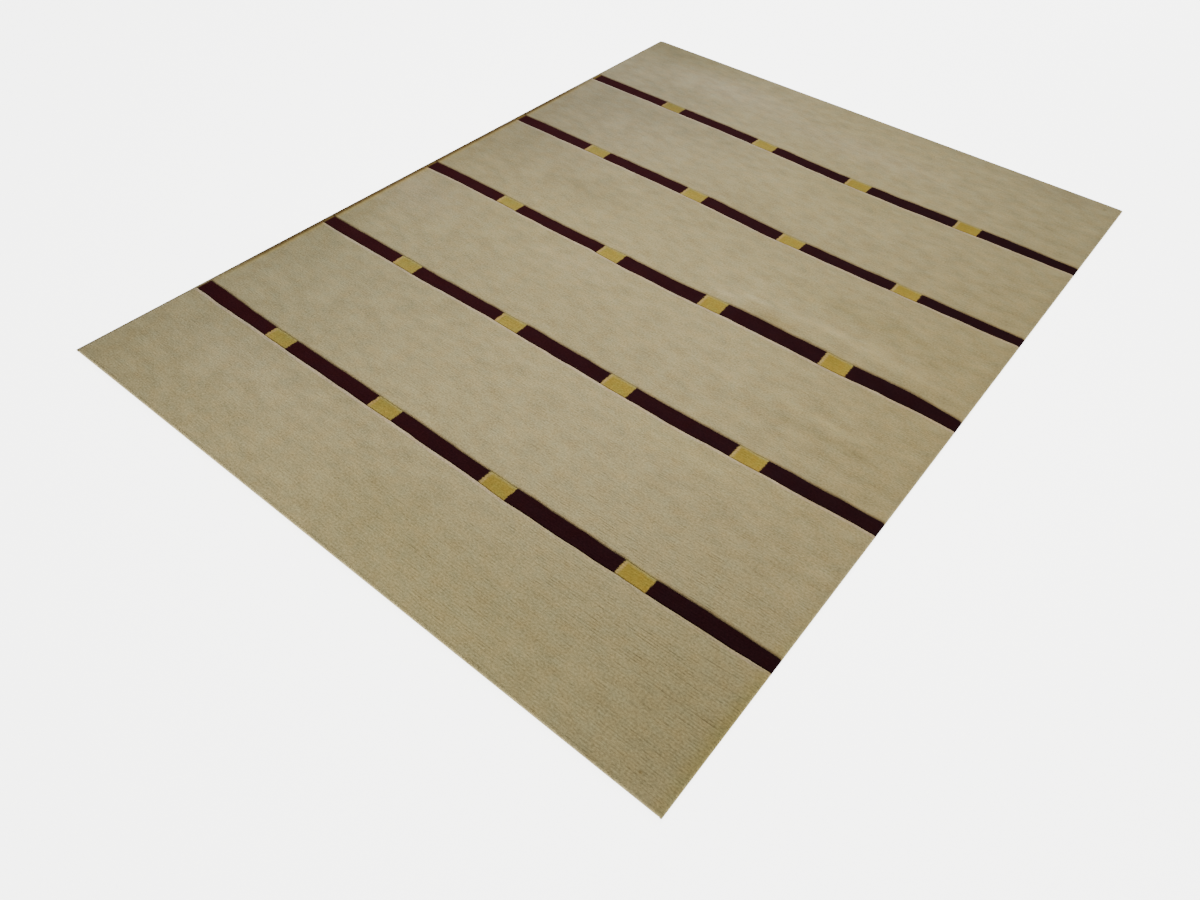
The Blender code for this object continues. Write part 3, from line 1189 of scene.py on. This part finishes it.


# Changes of the field's tone, partly painted light and shade and partly wool whose tone differs at random:
# broad ones first, then smaller ones, then the ripples' painted highlights and painted shade, and specks.
FIELD_PATCHES = (
    SoftPatch(-0.75, 0.80, 0.95, 0.95, (0.97, 1.00, 1.18)),
    SoftPatch(-0.80, -0.60, 0.80, 0.80, (0.97, 1.00, 1.05)),
    SoftPatch(-0.80, -0.16, 0.30, 0.18, (1.06, 1.06, 1.16)),
    SoftPatch(0.95, 0.00, 0.75, 1.50, (0.88, 0.85, 0.76)),
    SoftPatch(0.40, -1.20, 0.80, 0.45, (1.00, 1.00, 0.92)),
    SoftPatch(-0.90, 1.20, 0.40, 0.26, (0.72, 0.72, 0.68)),
    SoftPatch(-0.88, 0.42, 0.55, 0.85, (0.76, 0.76, 0.76)),
    SoftPatch(-0.55, 0.88, 0.30, 0.10, (0.90, 0.90, 0.88)),
    SoftPatch(-0.40, 1.03, 0.38, 0.12, (1.08, 1.08, 1.16)),
    SoftPatch(0.10, 0.97, 0.45, 0.11, (1.07, 1.07, 1.16)),
    SoftPatch(0.00, 0.57, 0.28, 0.13, (1.06, 1.06, 1.06)),
    SoftPatch(0.10, 0.40, 0.80, 0.30, (0.90, 0.90, 0.90)),
    SoftPatch(0.00, -0.50, 0.45, 0.09, (1.06, 1.06, 1.06)),
    SoftPatch(-0.05, -0.78, 0.85, 0.40, (1.13, 1.13, 1.13)),
    SoftPatch(-0.30, -1.15, 0.85, 0.30, (1.22, 1.22, 1.20)),
    SoftPatch(0.30, -1.17, 0.35, 0.10, (1.08, 1.08, 1.08)),
    SoftPatch(0.05, -1.05, 0.22, 0.14, (0.94, 0.94, 0.92)),
    SoftPatch(0.88, -1.02, 0.30, 0.32, (0.88, 0.88, 0.84)),
    SoftPatch(0.20, 1.24, 1.10, 0.14, (0.90, 0.90, 0.90)),
    SoftPatch(-0.62, 1.17, 0.38, 0.14, (0.84, 0.84, 0.80)),
    SoftPatch(0.72, 1.17, 0.24, 0.12, (0.89, 0.89, 0.92)),
    SoftPatch(-0.45, 0.70, 0.50, 0.16, (0.87, 0.87, 0.86)),
    SoftPatch(0.25, 0.70, 0.32, 0.10, (0.91, 0.91, 0.87)),
    SoftPatch(0.18, 0.47, 0.18, 0.08, (1.10, 1.10, 1.10)),
    SoftPatch(-0.40, 0.19, 0.26, 0.12, (0.85, 0.85, 0.84)),
    SoftPatch(0.48, 0.19, 0.40, 0.08, (0.90, 0.90, 0.86)),
    SoftPatch(-0.20, -0.13, 0.20, 0.08, (1.09, 1.09, 1.12)),
    SoftPatch(-0.84, -0.45, 0.14, 0.32, (0.85, 0.85, 0.84)),
    SoftPatch(0.48, -0.50, 0.36, 0.10, (1.08, 1.08, 1.04)),
    SoftPatch(-0.58, -0.97, 0.48, 0.14, (1.11, 1.11, 1.14)),
    # Painted highlights and painted shade on the slopes of the first ripple, then of the second.
    SoftPatch(0.195, 0.026, 0.060, 0.022, (1.18, 1.20, 1.27)),
    SoftPatch(0.265, 0.056, 0.070, 0.022, (1.17, 1.19, 1.25)),
    SoftPatch(0.350, 0.012, 0.120, 0.026, (0.82, 0.77, 0.68)),
    SoftPatch(0.640, 0.072, 0.380, 0.040, (1.18, 1.17, 1.17)),
    SoftPatch(0.620, -0.222, 0.300, 0.022, (1.10, 1.10, 1.08)),
    SoftPatch(0.620, -0.272, 0.320, 0.022, (0.90, 0.90, 0.88)),
    SoftPatch(0.884, -1.00, 0.040, 0.45, (0.93, 0.92, 0.72)),
    SoftPatch(-0.008, -0.083, 0.005, 0.005, (0.70, 0.68, 0.60)),
    SoftPatch(0.811, -1.162, 0.006, 0.006, (0.66, 0.60, 0.50)),
    SoftPatch(0.839, 1.160, 0.009, 0.012, (0.72, 0.74, 0.72)),
    SoftPatch(0.727, 0.871, 0.006, 0.007, (0.84, 0.83, 0.80)),
)


@dataclass(frozen=True)
class FieldWool:
    """The beige wool of the fields."""

    colour: Colour = (0.270, 0.224, 0.115)
    depth: Depth = Depth(
        cloud=0.030,
        mottle=0.140,
        streak=0.060,
        fleck=0.240,
        warmth=0.070,
        short_gap_shade=0.42,
        long_gap_shade=0.34,
    )
    lit_rim: Colour = (1.25, 1.18, 1.44)
    lit_rim_full: float = 0.0065
    lit_rim_width: float = 0.0105
    shaded_rim: Colour = (0.64, 0.56, 0.53)
    shaded_rim_width: float = 0.0090
    # How strong the painted highlight along the far line stays where the rows are worn, and beside gold.
    lit_rim_where_worn: float = 0.35
    lit_rim_beside_gold: float = 0.7
    gilded_rim: Colour = (0.95, 0.92, 0.72)
    gilded_rim_width: float = 0.0080
    # The ochre strip along the left side is partly ochre edge wool and partly painted shade.
    ochre_side: Colour = (0.36, 0.28, 0.17)
    ochre_side_full: float = 0.006
    ochre_side_width: float = 0.0175
    warm_side: Colour = (1.09, 1.00, 0.74)
    warm_side_full: float = 0.014
    warm_side_width: float = 0.028
    lit_side: float = 1.35
    patches: tuple[SoftPatch, ...] = FIELD_PATCHES

    def material(self, groups: ShaderGroups) -> Material:
        """Builds the material.

        Args:
            groups: The shared shader groups.

        Returns:
            The material.
        """
        wool = Wool("field wool", specular=0.12)
        colour = wool.patched(groups, self.colour, self.patches)
        from_near, from_far = wool.split(wool.uv("borders"))
        near_gold, far_gold = wool.split(wool.uv("gold"))
        wear, height = wool.split(wool.uv("wear"))
        # Painted highlight on the far line, weaker by gold and worn rows; painted shade on the near line.
        lit = wool.fade(from_far, self.lit_rim_full, self.lit_rim_width)
        lit = wool.times(lit, wool.ramp(far_gold, 0.0, 1.0, 1.0, self.lit_rim_beside_gold))
        lit = wool.times(lit, wool.ramp(wear, low=0.2, high=0.9, start=1.0, end=self.lit_rim_where_worn))
        shaded = wool.fade(from_near, 0.0, self.shaded_rim_width)
        shaded = wool.times(shaded, wool.minus(1.0, near_gold))
        gilded = wool.fade(from_near, 0.0, self.gilded_rim_width)
        gilded = wool.times(gilded, near_gold)
        colour = wool.tinted(lit, colour, self.lit_rim)
        colour = wool.tinted(shaded, colour, self.shaded_rim)
        colour = wool.tinted(gilded, colour, self.gilded_rim)
        # The left side's ochre and warm strips keep to the side's middle; the ochre strip is partly painted
        # shade.
        dyed = wool.dark_side_stretch()
        warm = wool.times(dyed, wool.beside_left(self.warm_side_full, self.warm_side_width))
        ochre = wool.beside_left(self.ochre_side_full, self.ochre_side_width)
        ochre = wool.times(dyed, ochre)
        colour = wool.tinted(warm, colour, self.warm_side)
        colour = wool.tinted(ochre, colour, self.ochre_side)
        side = wool.ramp(height, low=0.3, high=1.0, start=self.lit_side, end=1.0)
        colour = wool.vector("SCALE", colour, side)
        return wool.finish_pile(groups, colour, self.depth)


@dataclass(frozen=True)
class BandWool:
    """The dark and gold wools of one band."""

    number: int
    dashes: tuple[Dash, ...]
    ochre_reach: float
    dark_left: Colour = (0.0235, 0.0043, 0.0056)
    dark_right: Colour = (0.0125, 0.0032, 0.0042)
    gold_left: Colour = (0.238, 0.185, 0.043)
    gold_right: Colour = (0.222, 0.158, 0.024)
    # Painted highlight on each gold block's left rim.
    lit_left_rim: Colour = (0.287, 0.204, 0.068)
    pale_far: Colour = (0.262, 0.214, 0.066)
    ochre_end: Colour = (0.125, 0.083, 0.024)
    ochre_fade: float = 0.0085
    # Painted light along the gold's near line.
    lit_near_rim: Colour = (1.08, 1.07, 1.25)
    knot_step: float = 0.0012
    edge_softness: float = 0.0020
    lit_left_rim_width: float = 0.0075
    pale_far_width: float = 0.009
    lit_near_rim_width: float = 0.007
    patches: tuple[SoftPatch, ...] = (
        # Painted shade on the gold towards the left, most at the far end.
        SoftPatch(-0.60, 0.80, 0.30, 0.30, (0.76, 0.75, 0.86)),
        SoftPatch(-0.60, 0.30, 0.60, 0.45, (0.92, 0.92, 0.97)),
    )
    depth: Depth = Depth(
        cloud=0.040,
        mottle=0.120,
        streak=0.030,
        fleck=0.240,
        warmth=0.130,
        short_gap_shade=0.16,
        long_gap_shade=0.08,
    )

    def dash_mask(
        self, wool: Wool, groups: ShaderGroups, along: Signal, inset: float, softness: float
    ) -> Signal:
        """Masks the gold blocks of the band.

        Args:
            wool: The material on its way.
            groups: The shared shader groups.
            along: Places along the band.
            inset: How far the mask starts inside the blocks' left ends.
            softness: How softly the mask starts and ends.

        Returns:
            The mask.
        """
        mask: Signal = 0.0
        for dash in self.dashes:
            block = wool.group(
                groups.dash, Along=along, Start=dash.start + inset, End=dash.end, Softness=softness
            )
            mask = wool.math("ADD", mask, block, clamp=True)
        return mask

    def material(self, groups: ShaderGroups) -> Material:
        """Builds the material.

        Args:
            groups: The shared shader groups.

        Returns:
            The material.
        """
        wool = Wool(f"band wool {self.number}", specular=0.02)
        from_near, from_far = wool.split(wool.uv("borders"))
        step = wool.noise(wool.place, scale=260.0, detail=0.0)
        along = wool.math("MULTIPLY_ADD", step, self.knot_step, wool.x)
        across = wool.ramp(wool.x, low=-1.1, high=0.9, start=0.0, end=1.0)
        dark = wool.mix(across, self.dark_left, self.dark_right)
        end = wool.beside_left(self.ochre_reach, self.ochre_reach + self.ochre_fade)
        dark = wool.mix(end, dark, self.ochre_end)
        gold = wool.mix(across, self.gold_left, self.gold_right)
        # Painted light along the gold's near line.
        gold = wool.tinted(wool.fade(from_near, 0.0, self.lit_near_rim_width), gold, self.lit_near_rim)
        # Painted highlight on each gold block's left rim.
        core = self.dash_mask(wool, groups, along, self.lit_left_rim_width, self.lit_left_rim_width / 2)
        gold = wool.mix(core, self.lit_left_rim, gold)
        gold = wool.mix(wool.fade(from_far, 0.0, self.pale_far_width), gold, self.pale_far)
        gold = wool.patched(groups, gold, self.patches)
        blocks = self.dash_mask(wool, groups, along, 0.0, self.edge_softness)
        return wool.finish_pile(groups, wool.mix(blocks, dark, gold), self.depth)


@dataclass(frozen=True)
class KnottedBack:
    """The back of the knots, on which the bands show too, with the cotton that they are tied on."""

    field: Colour = (0.25, 0.21, 0.12)
    dark: Colour = (0.035, 0.010, 0.011)
    gold: Colour = (0.24, 0.18, 0.05)
    edge_softness: float = 0.003
    knots_a_metre: float = 175.0
    knot_stretch: float = 1.6
    bead_light: float = 0.45
    hollow_light: float = 0.62

    def material(self, groups: ShaderGroups) -> Material:
        """Builds the material.

        Args:
            groups: The shared shader groups.

        Returns:
            The material.
        """
        wool = Wool("knotted back", specular=0.05)
        colour: Signal = self.field
        for lines, dashes in zip(BAND_LINES, BAND_DASHES):
            near = sum(point.near for point in lines) / len(lines)
            far = sum(point.far for point in lines) / len(lines)
            band = wool.group(groups.dash, Along=wool.y, Start=near, End=far, Softness=self.edge_softness)
            dyed: Signal = self.dark
            for dash in dashes:
                block = wool.group(
                    groups.dash, Along=wool.x, Start=dash.start, End=dash.end, Softness=self.edge_softness
                )
                dyed = wool.mix(block, dyed, self.gold)
            colour = wool.mix(band, colour, dyed)
        knots = wool.node("ShaderNodeTexVoronoi", voronoi_dimensions="2D", feature="F1")
        stretched = wool.vector("MULTIPLY", wool.place, (1.0, self.knot_stretch, 0.0))
        wool.feed(knots.inputs["Vector"], stretched)
        knots.inputs["Scale"].default_value = self.knots_a_metre
        knots.inputs["Randomness"].default_value = 0.25
        bead = wool.fade(knots.outputs["Distance"], low=0.15, high=0.75)
        light = wool.math("MULTIPLY_ADD", bead, self.bead_light, self.hollow_light)
        wool.feed(wool.shader.inputs["Base Color"], wool.vector("SCALE", colour, light))
        wool.roughen(least=0.88, most=1.0)
        wool.raise_bump(bead, strength=0.6, depth=0.0006)
        return wool.material


@dataclass(frozen=True)
class OvercastYarn:
    """The ochre yarn over the long sides: paler near the corners, darker in between, partly painted shade."""

    # The dark yarn colour, used along the middle of the sides, is partly painted shade.
    colour: Colour = (0.078, 0.050, 0.017)
    pale_yarn: Colour = (0.235, 0.195, 0.110)
    shade_scale: tuple[float, float, float] = (0.02, 0.004, 1.0)
    strands: NoiseScale = NoiseScale("Strands", 8.0, 6.0, 2.0)

    def material(self, groups: ShaderGroups) -> Material:
        """Builds the material.

        Args:
            groups: The shared shader groups.

        Returns:
            The material.
        """
        wool = Wool("overcast yarn", specular=0.08)
        yarn = wool.mix(wool.dark_side_stretch(), self.pale_yarn, self.colour)
        wraps = wool.uv("wraps")
        _, turn = wool.split(wraps)
        # Painted shade in the grooves between the wraps, lighter on their crests.
        across = wool.math("ABSOLUTE", wool.minus(wool.math("FRACT", turn), 0.5))
        crest = wool.ramp(across, low=0.05, high=0.5, start=0.66, end=1.10)
        shaded = wool.group(
            groups.shade,
            Rows=wool.vector("MULTIPLY", wraps, self.shade_scale),
            Wool=yarn,
            Cloud=0.0,
            Mottle=0.05,
            Streak=0.10,
            Fleck=0.10,
            Warmth=0.04,
        )
        wool.feed(wool.shader.inputs["Base Color"], wool.vector("SCALE", shaded, crest))
        wool.roughen(least=0.82, most=0.98)
        wool.raise_bump(wool.stretched_noise(wraps, self.strands), strength=0.5, depth=0.0003)
        return wool.material


@dataclass(frozen=True)
class Floor:
    """The plain pale floor under the rug."""

    size: float = 14.0
    colour: Colour = (0.92, 0.92, 0.91)
    glow: float = 5.0

    def build(self) -> Piece:
        """Builds the floor."""
        bpy.ops.object.select_all(action="DESELECT")
        bpy.ops.mesh.primitive_plane_add(size=self.size, location=(0, 0, 0))
        floor = bpy.context.object
        floor.name = "floor"
        material = bpy.data.materials.new("floor")
        material.use_nodes = True
        shader = material.node_tree.nodes["Principled BSDF"]
        shader.inputs["Base Color"].default_value = (*self.colour, 1.0)
        shader.inputs["Roughness"].default_value = 0.9
        shader.inputs["Emission Color"].default_value = (*self.colour, 1.0)
        shader.inputs["Emission Strength"].default_value = self.glow
        floor.data.materials.append(material)
        return floor


@dataclass(frozen=True)
class SoftLight:
    """One soft light that faces the rug."""

    name: str
    place: Vector
    wide: float
    long: float
    power: float
    colour: Colour

    def build(self) -> Piece:
        """Builds the light."""
        lamp = bpy.data.lights.new(self.name, "AREA")
        lamp.shape = "RECTANGLE"
        lamp.size = self.wide
        lamp.size_y = self.long
        lamp.energy = self.power
        lamp.color = self.colour
        piece = bpy.data.objects.new(self.name, lamp)
        bpy.context.scene.collection.objects.link(piece)
        piece.location = self.place
        piece.rotation_euler = (-self.place).to_track_quat("-Z", "Y").to_euler()
        piece.visible_camera = False
        return piece


@dataclass(frozen=True)
class Studio:
    """The camera at the photograph's viewing angle, the lights and the floor."""

    eye: Vector = field(default_factory=lambda: Vector((1.1178, -1.7324, 1.5002)))
    azimuth: float = math.radians(36.796)
    elevation: float = math.radians(47.290)
    roll: float = math.radians(2.894)
    lens_mm: float = 27.168
    sensor_mm: float = 36.0
    sky: Colour = (1.0, 1.0, 1.0)
    sky_strength: float = 0.50

    def build_camera(self) -> None:
        """Builds the camera, turned as the photograph's own edges show."""
        lens = bpy.data.cameras.new("camera")
        lens.lens = self.lens_mm
        lens.sensor_width = self.sensor_mm
        lens.sensor_fit = "HORIZONTAL"
        lens.clip_start = 0.01
        camera = bpy.data.objects.new("camera", lens)
        bpy.context.scene.collection.objects.link(camera)
        turned = Matrix.Rotation(self.azimuth, 4, "Z")
        turned = turned @ Matrix.Rotation(math.pi / 2 - self.elevation, 4, "X")
        turned = turned @ Matrix.Rotation(self.roll, 4, "Z")
        camera.matrix_world = Matrix.Translation(self.eye) @ turned
        bpy.context.scene.camera = camera

    def build_lights(self) -> None:
        """Builds the pale surroundings and the two soft lights."""
        world = bpy.data.worlds.new("surroundings")
        world.use_nodes = True
        sky = world.node_tree.nodes["Background"]
        sky.inputs["Color"].default_value = (*self.sky, 1.0)
        sky.inputs["Strength"].default_value = self.sky_strength
        bpy.context.scene.world = world
        SoftLight(
            "window", Vector((-1.5, 4.6, 3.4)), wide=2.2, long=2.2, power=250.0, colour=(0.96, 0.99, 1.0)
        ).build()
        SoftLight(
            "ceiling", Vector((0.15, -0.10, 1.75)), wide=0.6, long=2.0, power=42.0, colour=(1.0, 0.97, 0.92)
        ).build()

    def build(self) -> None:
        """Builds the whole studio."""
        self.build_camera()
        self.build_lights()
        Floor().build()


def pile_sections() -> list[PileSection]:
    """Lists the sections of pile, fields and bands in turn from the near end.

    Returns:
        The sections.
    """
    sections = []
    before, finish = rug_end(BODY_LOW.y), Finish.TURNED
    passed: tuple[Dash, ...] = ()
    for number, dashes in enumerate(BAND_DASHES):
        near, far = band_edge(number, "near"), band_edge(number, "far")
        sections.append(
            PileSection(Pile.FIELD, number + 1, before, near, finish, Finish.CARVED, passed, dashes)
        )
        band = PileSection(Pile.BAND, number + 1, near, far, Finish.CARVED, Finish.CARVED)
        band.column_width = 0.006
        band.foot_rows = 3
        band.carving_reach = 0.0025
        sections.append(band)
        before, finish, passed = far, Finish.CARVED, dashes
    last = len(BAND_DASHES) + 1
    sections.append(
        PileSection(Pile.FIELD, last, before, rug_end(BODY_HIGH.y), finish, Finish.TURNED, passed)
    )
    return sections


def main() -> None:
    """Builds and dresses every piece of the rug, and the studio around it."""
    logging.basicConfig(level=logging.INFO, format="%(message)s")
    Studio().build()
    groups = ShaderGroups()
    field_wool = FieldWool().material(groups)
    band_wools = iter(
        BandWool(number + 1, dashes, reach).material(groups)
        for number, (dashes, reach) in enumerate(zip(BAND_DASHES, OCHRE_ENDS))
    )
    pile = []
    for section in pile_sections():
        piece = section.build()
        section.dress(piece, next(band_wools) if section.pile is Pile.BAND else field_wool)
        pile.append(piece)
        LOG.info("%s: %d faces", piece.name, len(piece.data.polygons))
    foundation = Foundation()
    base = foundation.build()
    foundation.dress(base, KnottedBack().material(groups), pile)
    LOG.info("%s: %d faces", base.name, len(base.data.polygons))
    yarn = OvercastYarn().material(groups)
    for side in Side:
        edge = OvercastEdge(side)
        piece = edge.build()
        edge.dress(piece, yarn)
        LOG.info("%s: %d faces", piece.name, len(piece.data.polygons))


if __name__ == "__main__":
    main()
